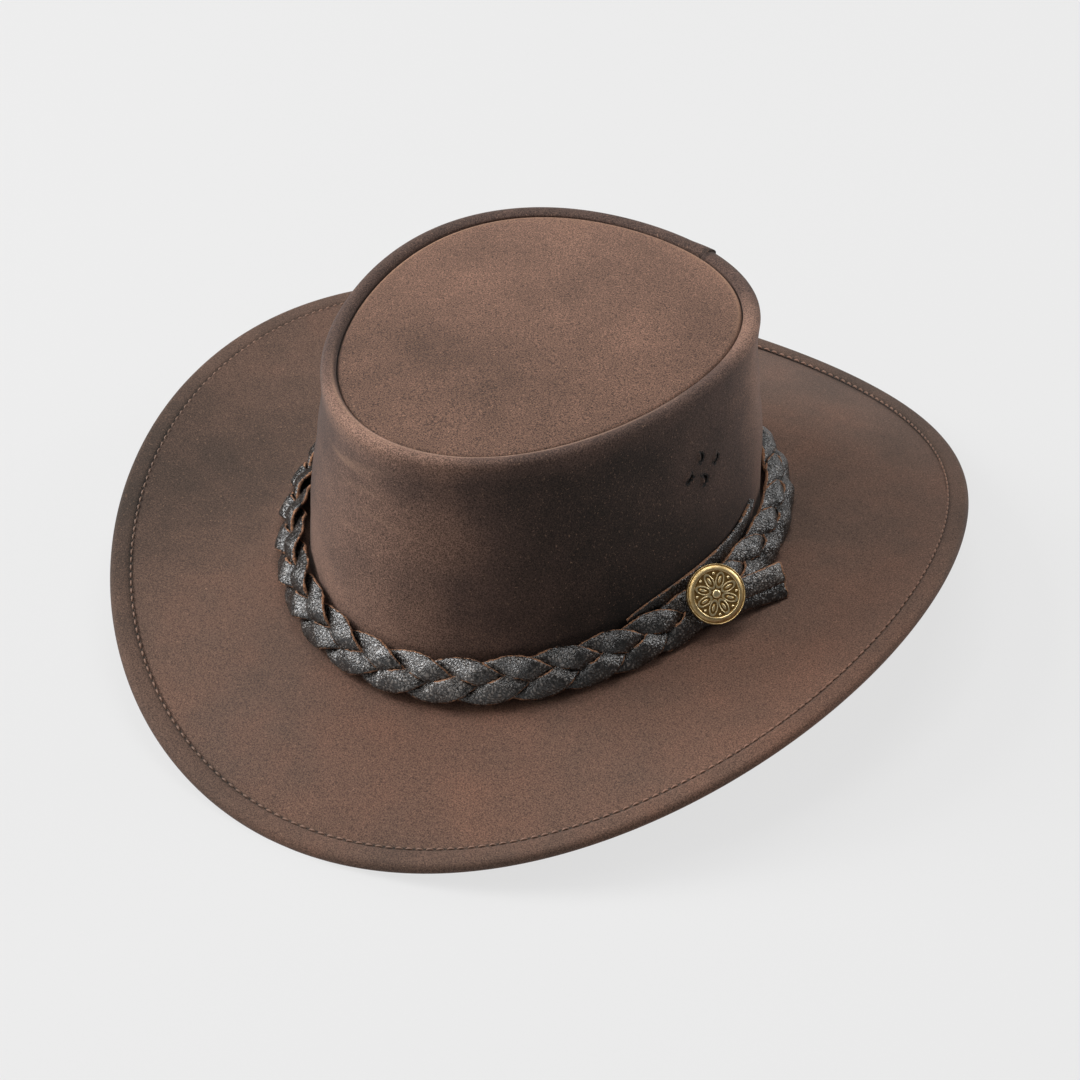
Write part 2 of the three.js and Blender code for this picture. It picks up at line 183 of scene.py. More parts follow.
def fold_at(up):
    """Fold of the wall, smooth between the rows of the table."""
    ups = [row[0] for row in WALL_FOLDS]
    i = min(max(sum(1 for u in ups if u <= up) - 1, 0), len(ups) - 2)
    rows = [WALL_FOLDS[min(max(i + k, 0), len(ups) - 1)][1] for k in (-1, 0, 1, 2)]
    t = min(max((up - ups[i]) / (ups[i + 1] - ups[i]), 0), 1)
    return 0.5 * (
        2 * rows[1]
        + (rows[2] - rows[0]) * t
        + (2 * rows[0] - 5 * rows[1] + 4 * rows[2] - rows[3]) * t * t
        + (3 * rows[1] - rows[0] - 3 * rows[2] + rows[3]) * t ** 3
    )


def crown_point(turn, up, out, above=0):
    low = oval(FOOT, turn, out)
    high = oval(RIM, turn, out)
    z = mix(foot_z(turn), rim_z(turn), up) + above
    return mix(low[0], high[0], up), mix(low[1], high[1], up), z


def edge_reach(turn):
    ends = (REACH_FRONT + REACH_BACK) / 4
    return (
        ends + REACH_SIDE / 2 + CROWN_FORWARD * math.cos(turn)
        + (ends - REACH_SIDE / 2) * math.cos(2 * turn)
        + OUTLINE_EGG * (math.cos(3 * turn) - math.cos(turn))
        + OUTLINE_FULL * (math.cos(4 * turn) - 1)
    )


def edge_height(turn):
    return (
        HEM_RADIUS - REST_FLAT + (SIDE_LIFT / 2) * (1 - math.cos(2 * turn))
        + LIFT_SKEW * (math.cos(turn) - math.cos(3 * turn))
        + (LIFT_FULL / 2) * (1 - math.cos(4 * turn))
    )


def hem_slope(turn):
    rise = foot_z(turn) - edge_height(turn)
    x, y = oval(FOOT, turn, 0)
    return 0.6 * rise / (edge_reach(turn) - math.hypot(x, y + CROWN_FORWARD))


def brim_point(turn, share, above):
    near = oval(FOOT, turn, -CROWN_LEATHER)
    reach = edge_reach(turn) - HEM_WIDTH
    far_z = edge_height(turn) + HEM_RADIUS - STITCH_DIP
    bow = mix(END_BOW, -SIDE_SAG, math.sin(turn) ** 2) * 4 * share * (1 - share)
    x = mix(near[0], reach * math.sin(turn), share)
    y = mix(near[1], reach * math.cos(turn) - CROWN_FORWARD, share)
    return x, y, mix(foot_z(turn) - GAP, far_z, share) + bow + above


def hem_point(turn, inset, above):
    reach = edge_reach(turn) - inset
    z = max(edge_height(turn) + above + hem_slope(turn) * (inset - HEM_RADIUS), 0)
    return reach * math.sin(turn), reach * math.cos(turn) - CROWN_FORWARD, z


# Modelling
def leave_selection():
    if bpy.context.mode != "OBJECT":
        bpy.ops.object.mode_set(mode="OBJECT")
    bpy.ops.object.select_all(action="DESELECT")


def pick(piece):
    leave_selection()
    piece.select_set(True)
    bpy.context.view_layer.objects.active = piece


def shaped_sheet(name, columns, rows, place, looped=(True, True)):
    """A flat grid whose corners are pulled to their places on the piece.

    place(u, v) gives millimetres for shares 0 to 1 of the way along and across the sheet.
    A looped direction is sewn shut where its last edge meets its first.
    """
    leave_selection()
    bpy.ops.mesh.primitive_grid_add(
        x_subdivisions=columns, y_subdivisions=rows, size=2, location=(0, 0, 0))
    piece = bpy.context.active_object
    piece.name = name
    piece.data.name = name
    flat = np.empty(len(piece.data.vertices) * 3)
    piece.data.vertices.foreach_get("co", flat)
    flat = flat.reshape(-1, 3)
    shares = np.clip((flat[:, :2] + 1) / 2, 0, 1)
    around, across = looped
    placed = {}
    spots = np.empty_like(flat)
    for i, (u, v) in enumerate(shares):
        column = round(u * columns) % columns if around else round(u * columns)
        row = round(v * rows) % rows if across else round(v * rows)
        if (column, row) not in placed:
            placed[(column, row)] = place(column / columns, row / rows)
        spots[i] = placed[(column, row)]
        flat[i] = (column / columns, row / rows, 0)
    piece.data.vertices.foreach_set("co", (spots * MM).ravel())
    piece.data.attributes.new(
        "sheet", "FLOAT_VECTOR", "POINT").data.foreach_set("vector", flat.ravel())
    piece.data.update()
    pick(piece)
    bpy.ops.object.mode_set(mode="EDIT")
    bpy.ops.mesh.select_all(action="SELECT")
    bpy.ops.mesh.remove_doubles(threshold=SEWN)
    face_outwards()
    return piece


def face_outwards():
    """Ends an edit: the faces of the mesh are turned to look out of it."""
    bpy.ops.mesh.select_all(action="SELECT")
    bpy.ops.mesh.normals_make_consistent(inside=False)
    bpy.ops.object.mode_set(mode="OBJECT")


def close_ends(piece):
    """The open ends of a tube are filled."""
    pick(piece)
    bpy.ops.object.mode_set(mode="EDIT")
    bpy.ops.mesh.select_all(action="DESELECT")
    bpy.ops.mesh.select_mode(type="EDGE")
    bpy.ops.mesh.select_non_manifold()
    bpy.ops.mesh.fill_holes(sides=0)
    face_outwards()


def sheet_through(name, rings, closed=True):
    """A sheet once round the hat through a list of sections, closed ones unless said otherwise."""
    columns = len(rings)
    rows = len(rings[0]) if closed else len(rings[0]) - 1

    def place(u, v):
        ring = rings[round(u * columns) % columns]
        return ring[round(v * rows) % len(ring)]

    return shaped_sheet(name, columns, rows, place, (True, closed))


def smooth(piece, degrees=40):
    pick(piece)
    bpy.ops.object.shade_smooth_by_angle(angle=math.radians(degrees))


def apply_modifiers(piece):
    pick(piece)
    for modifier in list(piece.modifiers):
        bpy.ops.object.modifier_apply(modifier=modifier.name)


def join(pieces, name):
    leave_selection()
    for piece in pieces:
        piece.select_set(True)
    bpy.context.view_layer.objects.active = pieces[0]
    if len(pieces) > 1:
        bpy.ops.object.join()
    whole = bpy.context.active_object
    whole.name = name
    whole.data.name = name
    return whole


def frame_matrix(right, up, out, centre):
    """Places a piece made in millimetres at the origin, in metres."""
    turned = Matrix((right, up, out)).transposed().to_4x4()
    return Matrix.Translation(centre * MM) @ turned @ Matrix.Scale(MM, 4)


def paint(piece, name, tone):
    """A number on each corner of a sheet, from its place and its shares along and across."""
    count = len(piece.data.vertices)
    shares = np.empty(count * 3)
    piece.data.attributes["sheet"].data.foreach_get("vector", shares)
    shares = shares.reshape(-1, 3)
    layer = piece.data.attributes.new(name, "FLOAT", "POINT")
    corners = zip(piece.data.vertices, shares)
    layer.data.foreach_set(
        "value", [tone(vertex.co / MM, share[0], share[1]) for vertex, share in corners])


# Finishes
def linear(code):
    """sRGB hex colour as linear RGBA."""
    values = [int(code[i:i + 2], 16) / 255 for i in (1, 3, 5)]
    return tuple(v / 12.92 if v <= 0.04045 else ((v + 0.055) / 1.055) ** 2.4 for v in values) + (1,)


def add(tree, kind, settings=None, **links):
    """One node with its settings, and its inputs, by name or _number, set to values or linked.

    The setting stops holds a colour ramp's (place, hex colour) rows by rising place.
    """
    node = tree.nodes.new(kind)
    for key, value in (settings or {}).items():
        if key != "stops":
            setattr(node, key, value)
            continue
        colours = node.color_ramp.elements
        colours.remove(colours[1])
        for i, (place, code) in enumerate(value):
            stop = colours.new(place) if i else colours[0]
            stop.position = place
            stop.color = linear(code)
    for key, value in links.items():
        socket = node.inputs[int(key[1:])] if key[0] == "_" else node.inputs[key.replace("_", " ")]
        if isinstance(value, bpy.types.NodeSocket):
            tree.links.new(value, socket)
        else:
            socket.default_value = value
    return node


def finish(name):
    material = bpy.data.materials.new(name)
    material.use_nodes = True
    tree = material.node_tree
    shader = tree.nodes["Principled BSDF"]
    return material, tree, shader


# Bottom of the nubuck ramps: oil-darkened leather, and also the painted shade of the crown's shaded
# side and its slits.
SHADE_AND_OIL_BLACK = "#0c0a08"


def oiled_nubuck(name, grain, *colours):
    """Oiled nubuck: buffed and matt, clouded by its oils and by the painted light and shade of its
    tone, with a speckled nap, pale where rubbed.

    The nap is finer than a picture of the whole hat shows, and is drawn half a millimetre coarse.
    """
    material, tree, shader = finish(name)
    dark, middle, warm, light = colours
    place = add(tree, "ShaderNodeTexCoord").outputs["Object"]
    tone = add(tree, "ShaderNodeAttribute", {"attribute_name": "tone"}).outputs["Fac"]
    wear = add(tree, "ShaderNodeAttribute", {"attribute_name": "wear"}).outputs["Fac"]
    clouds = add(
        tree, "ShaderNodeTexNoise", Vector=place, Scale=9.0, Detail=2.5,
        Roughness=0.5).outputs["Fac"]
    patches = add(
        tree, "ShaderNodeTexNoise", Vector=place, Scale=70.0, Detail=3.0,
        Roughness=0.5).outputs["Fac"]
    nap = add(
        tree, "ShaderNodeTexNoise", Vector=place, Scale=1900.0, Detail=1.5,
        Roughness=0.9).outputs["Fac"]
    fleck = add(
        tree, "ShaderNodeTexNoise", Vector=place, Scale=900.0, Detail=3.0,
        Roughness=0.95).outputs["Fac"]
    cloud = add(
        tree, "ShaderNodeMath", {"operation": "MULTIPLY_ADD"}, _0=patches, _1=0.22,
        _2=-0.01).outputs[0]
    cloud = add(
        tree, "ShaderNodeMath", {"operation": "MULTIPLY_ADD"}, _0=clouds, _1=0.8,
        _2=cloud).outputs[0]
    # The tone attribute adds painted light and shade to the oil clouds.
    cloud = add(tree, "ShaderNodeMath", {"operation": "ADD"}, _0=cloud, _1=tone).outputs[0]
    stops = ((0.0, SHADE_AND_OIL_BLACK), (0.15, dark), (0.45, middle), (0.75, warm), (1.0, light))
    colour = add(tree, "ShaderNodeValToRGB", {"stops": stops}, _0=cloud).outputs["Color"]
    speck = add(
        tree, "ShaderNodeMapRange", Value=nap, From_Min=0.36, From_Max=0.64, To_Min=1 - grain,
        To_Max=1 + grain).outputs[0]
    colour = add(
        tree, "ShaderNodeMix", {"data_type": "RGBA", "blend_type": "MULTIPLY"}, _0=1.0, _6=colour,
        _7=speck).outputs[2]
    rubbed = add(
        tree, "ShaderNodeMapRange", Value=fleck, From_Min=0.61, From_Max=0.7,
        To_Max=0.55).outputs[0]
    rubbed = add(
        tree, "ShaderNodeMath", {"operation": "ADD", "use_clamp": True}, _0=rubbed,
        _1=wear).outputs[0]
    colour = add(
        tree, "ShaderNodeMix", {"data_type": "RGBA"}, _0=rubbed, _6=colour,
        _7=linear(light)).outputs[2]
    relief = add(
        tree, "ShaderNodeMath", {"operation": "MULTIPLY_ADD"}, _0=nap, _1=0.6, _2=fleck).outputs[0]
    bump = add(tree, "ShaderNodeBump", Strength=0.45, Distance=0.0003, Height=relief).outputs[0]
    rough = add(
        tree, "ShaderNodeMapRange", Value=clouds, From_Min=0.3, From_Max=0.7, To_Min=0.72,
        To_Max=0.86).outputs[0]
    tree.links.new(colour, shader.inputs["Base Color"])
    tree.links.new(bump, shader.inputs["Normal"])
    tree.links.new(rough, shader.inputs["Roughness"])
    shader.inputs["IOR"].default_value = 1.45
    shader.inputs["Specular IOR Level"].default_value = 0.22
    shader.inputs["Sheen Weight"].default_value = 0.06
    shader.inputs["Sheen Roughness"].default_value = 0.5
    return material


def drawn_lace(name):
    """Drum-dyed lace leather: near black and waxy, its grain rubbed grey and greyed further by
    painted sheen, raw and brown where cut.

    The grain's creases are drawn about a millimetre apart, coarser than real ones, to show at all.
    """
    material, tree, shader = finish(name)
    place = add(tree, "ShaderNodeTexCoord").outputs["Object"]
    raw = add(tree, "ShaderNodeAttribute", {"attribute_name": "raw"}).outputs["Fac"]
    # rub_and_sheen: rubbed grey, and painted sheen where the lace catches the light.
    rub_and_sheen = add(tree, "ShaderNodeAttribute", {"attribute_name": "rub_and_sheen"}).outputs["Fac"]
    fray = add(
        tree, "ShaderNodeTexNoise", Vector=place, Scale=1300.0, Detail=3.0,
        Roughness=0.8).outputs["Fac"]
    cloud = add(
        tree, "ShaderNodeTexNoise", Vector=place, Scale=190.0, Detail=4.0,
        Roughness=0.65).outputs["Fac"]
    warp = add(tree, "ShaderNodeTexNoise", Vector=place, Scale=300.0, Detail=2.0).outputs["Color"]
    bent = add(
        tree, "ShaderNodeMix", {"data_type": "RGBA", "blend_type": "LINEAR_LIGHT"}, _0=0.0016,
        _6=place, _7=warp)
    crease = add(
        tree, "ShaderNodeTexVoronoi", {"feature": "DISTANCE_TO_EDGE"}, Vector=bent.outputs[2],
        Scale=760.0).outputs[0]
    grain = add(tree, "ShaderNodeMapRange", Value=crease, From_Max=0.32).outputs[0]
    grain = add(tree, "ShaderNodeMath", {"operation": "MULTIPLY"}, _0=grain, _1=fray).outputs[0]
    worn = add(
        tree, "ShaderNodeMath", {"operation": "MULTIPLY_ADD"}, _0=cloud, _1=0.7,
        _2=grain).outputs[0]
    worn = add(tree, "ShaderNodeMath", {"operation": "ADD"}, _0=worn, _1=rub_and_sheen).outputs[0]
    stops = ((0.35, "#0a0908"), (0.75, "#1f1b19"), (1.0, "#66605b"))
    face = add(tree, "ShaderNodeValToRGB", {"stops": stops}, _0=worn).outputs["Color"]
    stops = ((0.3, "#3a261b"), (0.7, "#a8754f"))
    cut = add(tree, "ShaderNodeValToRGB", {"stops": stops}, _0=fray).outputs["Color"]
    edge = add(
        tree, "ShaderNodeMath", {"operation": "MULTIPLY_ADD"}, _0=cloud, _1=2.2, _2=raw).outputs[0]
    edge = add(
        tree, "ShaderNodeMath", {"operation": "MULTIPLY_ADD"}, _0=fray, _1=0.9, _2=edge).outputs[0]
    edge = add(tree, "ShaderNodeMapRange", Value=edge, From_Min=2.2, From_Max=2.42).outputs[0]
    colour = add(tree, "ShaderNodeMix", {"data_type": "RGBA"}, _0=edge, _6=face, _7=cut).outputs[2]
    shine = add(
        tree, "ShaderNodeMapRange", Value=fray, From_Min=0.35, From_Max=0.65, To_Min=0.2,
        To_Max=0.36).outputs[0]
    rough = add(tree, "ShaderNodeMix", {"data_type": "FLOAT"}, _0=edge, _2=shine, _3=0.9).outputs[0]
    height = add(
        tree, "ShaderNodeMath", {"operation": "MULTIPLY_ADD"}, _0=grain, _1=1.6,
        _2=cloud).outputs[0]
    bump = add(tree, "ShaderNodeBump", Strength=0.4, Distance=0.0005, Height=height).outputs[0]
    tree.links.new(colour, shader.inputs["Base Color"])
    tree.links.new(rough, shader.inputs["Roughness"])
    tree.links.new(bump, shader.inputs["Normal"])
    shader.inputs["IOR"].default_value = 1.5
    shader.inputs["Specular IOR Level"].default_value = 0.8
    return material


def waxed_thread(name):
    """Waxed polyester thread: twisted, with a dull shine."""
    material, tree, shader = finish(name)
    place = add(tree, "ShaderNodeTexCoord").outputs["Object"]
    twist = add(tree, "ShaderNodeTexNoise", Vector=place, Scale=1800.0, Detail=2.0).outputs["Fac"]
    soil = add(tree, "ShaderNodeTexNoise", Vector=place, Scale=9.0, Detail=2.0).outputs["Fac"]
    stops = ((0.35, "#664f41"), (0.65, "#7e5c4a"))
    colour = add(tree, "ShaderNodeValToRGB", {"stops": stops}, _0=soil).outputs["Color"]
    bump = add(tree, "ShaderNodeBump", Strength=0.4, Distance=0.0002, Height=twist).outputs[0]
    tree.links.new(colour, shader.inputs["Base Color"])
    tree.links.new(bump, shader.inputs["Normal"])
    shader.inputs["Roughness"].default_value = 0.6
    return material


def antique_brass(name):
    """Antique cast brass: pale where hands polish it, brown in the hollows."""
    material, tree, shader = finish(name)
    place = add(tree, "ShaderNodeTexCoord").outputs["Object"]
    polish = add(tree, "ShaderNodeAttribute", {"attribute_name": "polish"}).outputs["Fac"]
    mottle = add(
        tree, "ShaderNodeTexNoise", Vector=place, Scale=650.0, Detail=4.0,
        Roughness=0.7).outputs["Fac"]
    share = add(
        tree, "ShaderNodeMath", {"operation": "MULTIPLY_ADD"}, _0=mottle, _1=0.5,
        _2=polish).outputs[0]
    stops = ((0.3, "#5c4224"), (0.65, "#ad8a50"), (1.0, "#ead6a8"))
    colour = add(tree, "ShaderNodeValToRGB", {"stops": stops}, _0=share).outputs["Color"]
    rough = add(
        tree, "ShaderNodeMapRange", Value=share, From_Min=0.3, From_Max=1.1, To_Min=0.55,
        To_Max=0.3).outputs[0]
    bump = add(tree, "ShaderNodeBump", Strength=0.15, Distance=0.0002, Height=mottle).outputs[0]
    tree.links.new(colour, shader.inputs["Base Color"])
    tree.links.new(rough, shader.inputs["Roughness"])
    tree.links.new(bump, shader.inputs["Normal"])
    shader.inputs["Metallic"].default_value = 1.0
    return material


def dress(piece, material, slot, *nodes):
    """Gives a finished piece its material, hangs it on the root and hides the CAD nodes it stands
    for.
    """
    piece.data.materials.clear()
    piece.data.materials.append(material)
    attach(piece, "root")
    if nodes:
        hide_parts(*nodes)
    return piece


crown_nubuck = oiled_nubuck("crown_oiled_nubuck", 0.65, "#221b17", "#4a3932", "#7a5e50", "#b18d75")
panel_nubuck = oiled_nubuck("panel_oiled_nubuck", 0.75, "#48352b", "#664c3f", "#7f5d4a", "#b48c70")
brim_nubuck = oiled_nubuck("brim_oiled_nubuck", 0.5, "#2e2620", "#523f35", "#6a4c3e", "#9c7c66")
lace = drawn_lace("band_lace_leather")
thread = waxed_thread("hem_thread")
brass = antique_brass("concho_antique_brass")


# Crown
FACE_ROWS = 26
ROLL_ROWS = 12
ROLL_UNDER_ROWS = 4
INSIDE_UPS = (0.96, 0.85, 0.7, 0.55, 0.4, 0.25, 0.12, 0)


def wall_section(turn):
    """Closed section of the crown wall: up its face, over the rim, into the seam, down inside."""
    step = lap(turn)

    def roll(angle, radius):
        rise = radius * math.sin(angle) * (1 - ROLL_FALL_BACK * smooth_step(0, 0.8, math.cos(turn)))
        return crown_point(turn, 1, step - ROLL_RADIUS + radius * math.cos(angle), rise + step / 2)

    lip = -ROLL_RADIUS + ROLL_RADIUS * math.cos(ROLL_END)
    ups = [i / FACE_ROWS for i in range(FACE_ROWS)]
    face = [crown_point(turn, up, fold_at(up) + step * up) for up in ups]
    over = [roll(ROLL_END * i / ROLL_ROWS, ROLL_RADIUS) for i in range(ROLL_ROWS + 1)]
    turned = [
        crown_point(turn, 1, lip, -LIP_DEPTH / 2), crown_point(turn, 1, lip, -LIP_DEPTH),
        crown_point(turn, 1, lip + CROWN_LEATHER, -LIP_DEPTH),
    ]
    under = [roll(ROLL_END * i / ROLL_UNDER_ROWS, ROLL_RADIUS - CROWN_LEATHER)
             for i in range(ROLL_UNDER_ROWS, 0, -1)]
    inside = [crown_point(turn, up, fold_at(up) - CROWN_LEATHER) for up in INSIDE_UPS]
    return face + over + turned + under + inside


def table_of(section_at, columns):
    """Sections by turn, the two nearest the cut end of the lap drawn to both sides of it."""
    turns = [FULL_TURN * i / columns for i in range(columns)]
    before = math.floor(LAP_TURN / FULL_TURN * columns)
    turns[before] = LAP_TURN
    turns[before + 1] = LAP_TURN + LAP_CUT / RIM[0]
    return [section_at(turn) for turn in turns]


# Vents on one side: turn of the slit and its lean, in degrees, height as a share of the wall, and
# bow in millimetres. The width is that at the outer face: the slit narrows at the inner one, so
# that it looks dark.
VENTS = (
    (92.7, -29, 0.712, 1.3), (87.1, -50, 0.649, 0.4), (96.8, -60, 0.646, 0.2),
    (92.4, -12, 0.594, 1.7))
VENT_LENGTH = 4.2
VENT_WIDTH = 2.4
VENT_REACH = 7.0
VENT_PINCH = 0.85
VENT_CUT_DEPTH = 5


def vent_frames():
    """Middle of each slit at the outer face, the ways across, along and out of it, and its bow."""
    for side in (1, -1):
        for degrees, lean, up, bow in VENTS:
            turn = side * math.radians(degrees)
            out = Vector((math.sin(turn), math.cos(turn), 0))
            along = Vector((0, 0, 1))
            along.rotate(Matrix.Rotation(side * math.radians(lean), 3, out))
            yield Vector(
                crown_point(turn, up, fold_at(up))), along.cross(out) * side, along, out, bow


def mend_shares(wall):
    """New corners where the sheet is sewn shut at the back lie between its last and first columns."""
    shares = np.empty(len(wall.data.vertices) * 3)
    layer = wall.data.attributes["sheet"].data
    layer.foreach_get("vector", shares)
    shares = shares.reshape(-1, 3)
    for vertex, share in zip(wall.data.vertices, shares):
        if vertex.co.y > 0 and abs(share[0] * 2 - 1) < 2 / WALL_COLUMNS:
            share[0] = 1 - 0.5 / WALL_COLUMNS
    layer.foreach_set("vector", shares.ravel())


def punch_vents(wall):
    """The leather is refined, most around the slits, the lips bulged by the punch and cut through."""
    near = [frame[0] * MM for frame in VENT_FRAMES]
    pick(wall)
    bpy.ops.object.mode_set(mode="EDIT")
    bpy.ops.mesh.select_mode(type="FACE")
    bpy.ops.mesh.select_all(action="SELECT")
    bpy.ops.mesh.subdivide(number_cuts=1)
    bpy.ops.mesh.select_all(action="DESELECT")
    bpy.ops.object.mode_set(mode="OBJECT")
    mend_shares(wall)
    for face in wall.data.polygons:
        face.select = min((face.center - spot).length for spot in near) < VENT_REACH * MM
    bpy.ops.object.mode_set(mode="EDIT")
    bpy.ops.mesh.subdivide(number_cuts=1)
    bpy.ops.object.mode_set(mode="OBJECT")
    for vertex in wall.data.vertices:
        for spot, across, along, out, bow in VENT_FRAMES:
            offset = vertex.co / MM - spot
            if offset.length < VENT_REACH:
                height = offset.dot(along) / (VENT_LENGTH / 2)
                aside = offset.dot(across) - bow * (1 - height * height)
                lift = 0.9 * bell(aside, -1.9, 0.8) - 0.4 * bell(aside, 1.5, 0.6)
                vertex.co += out * (lift * bell(height, -0.2, 1.0) * MM)
    cutters = []
    for spot, across, along, out, bow in VENT_FRAMES:
        bpy.ops.mesh.primitive_uv_sphere_add(
            segments=24, ring_count=12, radius=1, location=(0, 0, 0))
        cutter = bpy.context.active_object
        for vertex in cutter.data.vertices:
            height = vertex.co.y
            pinch = 1 - VENT_PINCH * smooth_step(0, CROWN_LEATHER / VENT_CUT_DEPTH, -vertex.co.z)
            vertex.co.x = vertex.co.x * pinch * VENT_WIDTH / 2 + bow * (1 - height * height)
            vertex.co.y = height * VENT_LENGTH / 2
            vertex.co.z *= VENT_CUT_DEPTH
        cutter.data.transform(frame_matrix(across, along, out, spot))
        cutters.append(cutter)
    punch = join(cutters, "vent_punch")
    pick(punch)
    bpy.ops.object.mode_set(mode="EDIT")
    face_outwards()
    cut = wall.modifiers.new("vents", "BOOLEAN")
    cut.object = punch
    cut.operation = "DIFFERENCE"
    cut.solver = "EXACT"
    apply_modifiers(wall)
    bpy.data.objects.remove(punch)


def in_vent(place):
    """Whether a place lies in the cut of a slit or on its lips' edges."""
    for spot, across, along, out, bow in VENT_FRAMES:
        offset = place - spot
        height = offset.dot(along) / (VENT_LENGTH / 2)
        aside = offset.dot(across) - bow * (1 - height * height)
        if offset.length < VENT_LENGTH and abs(height) < 1.15 and abs(aside) < VENT_WIDTH * 0.62:
            return True
    return False


VENT_FRAMES = list(vent_frames())
WALL_ROWS = len(wall_section(0))
WALL_COLUMNS = 288
LAP_COLUMN = math.floor(LAP_TURN / FULL_TURN * WALL_COLUMNS)
crown = sheet_through("crown_wall", table_of(wall_section, WALL_COLUMNS))
punch_vents(crown)
smooth(crown, 50)


def panel_ring(turn, share, out, above):
    x, y = oval(RIM, turn, out)
    middle = RIM[4] - CROWN_FORWARD
    return x * share, mix(middle, y, share), mix(RIM_HEIGHT, rim_z(turn), share) + above


PANEL_FLAT = 16
PANEL_BEND = 8
PANEL_COLUMNS = 240


def panel_section(turn):
    """Half section of the top panel: from its middle to the seam, down it and back underneath."""
    edge_out = -ROLL_RADIUS + ROLL_RADIUS * math.cos(ROLL_END) - GAP
    seam = ROLL_RADIUS * math.sin(ROLL_END)
    flat = edge_out - PANEL_EDGE
    inside = edge_out - CROWN_LEATHER
    shares = [i / PANEL_FLAT for i in range(PANEL_FLAT)]
    top = [panel_ring(turn, s, flat, seam + PANEL_DOME * (1 - s * s)) for s in shares]
    bend = [
        panel_ring(
            turn, 1, edge_out - PANEL_EDGE * (1 - math.cos(a)),
            seam - PANEL_EDGE * (1 - math.sin(a)))
        for a in (math.radians(90 * (1 - i / PANEL_BEND)) for i in range(PANEL_BEND + 1))
    ]
    edge = [
        panel_ring(turn, 1, edge_out, -LIP_DEPTH), panel_ring(turn, 1, inside, -LIP_DEPTH),
        panel_ring(turn, 1, inside, seam - PANEL_EDGE),
    ]
    under = [
        panel_ring(turn, s, inside, seam + PANEL_DOME * (1 - s * s) - CROWN_LEATHER)
        for s in reversed(shares)
    ]
    return top + bend + edge + under


PANEL_ROWS = len(panel_section(0)) - 1
panel = sheet_through("top_panel", table_of(panel_section, PANEL_COLUMNS), closed=False)
smooth(panel, 50)


# Brim
BRIM_FACE = 26
BRIM_COLUMNS = 360
BEAD_ROWS = 12
# Stitched groove of the hem: how far in from the hem's width, and share of the stitch's dip
HEM_TOP = ((0.6, 1.1), (0, 1.5), (-0.6, 1.1), (-1.2, 0.45), (-2.2, 0.05), (-3.6, 0))
HEM_UNDER = (HEM_RADIUS * 1.7, 6.2, HEM_WIDTH + 0.6)


def brim_section(turn):
    """Closed section of the brim: out along its upper face, round the hem and back underneath."""
    shares = [i / BRIM_FACE for i in range(BRIM_FACE + 1)]
    upper = [brim_point(turn, share, 0) for share in shares]
    lower = [brim_point(turn, share, -BRIM_LEATHER) for share in shares[::-2]]
    hem_top = [
        hem_point(turn, HEM_WIDTH + inset, HEM_RADIUS - STITCH_DIP * depth)
        for inset, depth in HEM_TOP
    ]
    bead = [
        hem_point(turn, HEM_RADIUS * (1 - math.cos(a)), HEM_RADIUS * math.sin(a))
        for a in (math.radians(90 - 180 * i / BEAD_ROWS) for i in range(BEAD_ROWS + 1))
    ]
    hem_under = [hem_point(turn, inset, -HEM_RADIUS) for inset in HEM_UNDER]
    step = [hem_point(turn, HEM_WIDTH + 0.6, HEM_RADIUS - STITCH_DIP - BRIM_LEATHER)]
    return upper + hem_top + bead + hem_under + step + lower


BRIM_ROWS = len(brim_section(0))
brim = sheet_through("brim_sheet", table_of(brim_section, BRIM_COLUMNS))
smooth(brim, 50)


# Braided band
def band_table():
    """Middle line of the band by the share of its length, from the concho by falling turn."""
    count = 1440
    turns = [CONCHO_TURN - FULL_TURN * i / count for i in range(count + 1)]
    points = np.array([(*oval(FOOT, t, BAND_OUT), foot_z(t) + BAND_UP) for t in turns])
    lengths = np.concatenate([[0], np.cumsum(np.linalg.norm(np.diff(points, axis=0), axis=1))])
    return points, lengths / lengths[-1], lengths[-1]


BAND_POINTS, BAND_SHARES, BAND_LENGTH = band_table()


def band_middle(share):
    return Vector([np.interp(share % 1, BAND_SHARES, BAND_POINTS[:, axis]) for axis in range(3)])


def band_frame(share):
    step = 0.002
    along = (band_middle(share + step) - band_middle(share - step)).normalized()
    out = along.cross(Vector((0, 0, 1))).normalized()
    face = out * math.sin(BAND_LEAN) + Vector((0, 0, 1)) * math.cos(BAND_LEAN)
    face = (face - along * face.dot(along)).normalized()
    across = face.cross(along).normalized()
    return band_middle(share), along, across, face


def strand_phase(share, number):
    return BAND_PHASE + share * BAND_WAVES * FULL_TURN + number * FULL_TURN / 3


def strand_point(share, number):
    phase = strand_phase(share, number)
    middle, along, across, face = band_frame(share)
    swing = BAND_SWING * (math.sin(phase) + 0.04 * math.sin(3 * phase))
    depth = -BAND_DEPTH * (math.sin(2 * phase) + 0.22 * math.sin(4 * phase))
    return middle + across * swing + face * depth


# Section of a flat strap: share of its half width, share of its thickness, swell of the face in
# millimetres, and how raw the leather is there
STRAP = (
    (-0.9, -0.5, 0, 0.6), (-1.0, 0, 0, 0.9), (
        -0.96, 0.34, 0, 0.75), (-0.82, 0.5, 0.12, 0), (-0.5, 0.5, 0.52, 0),
    (0, 0.5, 0.75, 0), (0.5, 0.5, 0.52, 0), (
        0.82, 0.5, 0.12, 0.1), (0.96, 0.34, 0, 0.95), (1.0, 0, 0, 1.0),
    (0.88, -0.5, 0, 0.7), (0, -0.5, 0, 0),
)
STRAP_FACE = range(3, 9)
STRAP_EDGES = (1, 9)


def strap_section(width, thick):
    """Flat strap with a rounded face and worn corners: places across it and up from its middle."""
    return [(across * width / 2, up * thick + swell) for across, up, swell, raw in STRAP]


def strap_raw(place, u, v):
    return STRAP[round(v * len(STRAP)) % len(STRAP)][3]


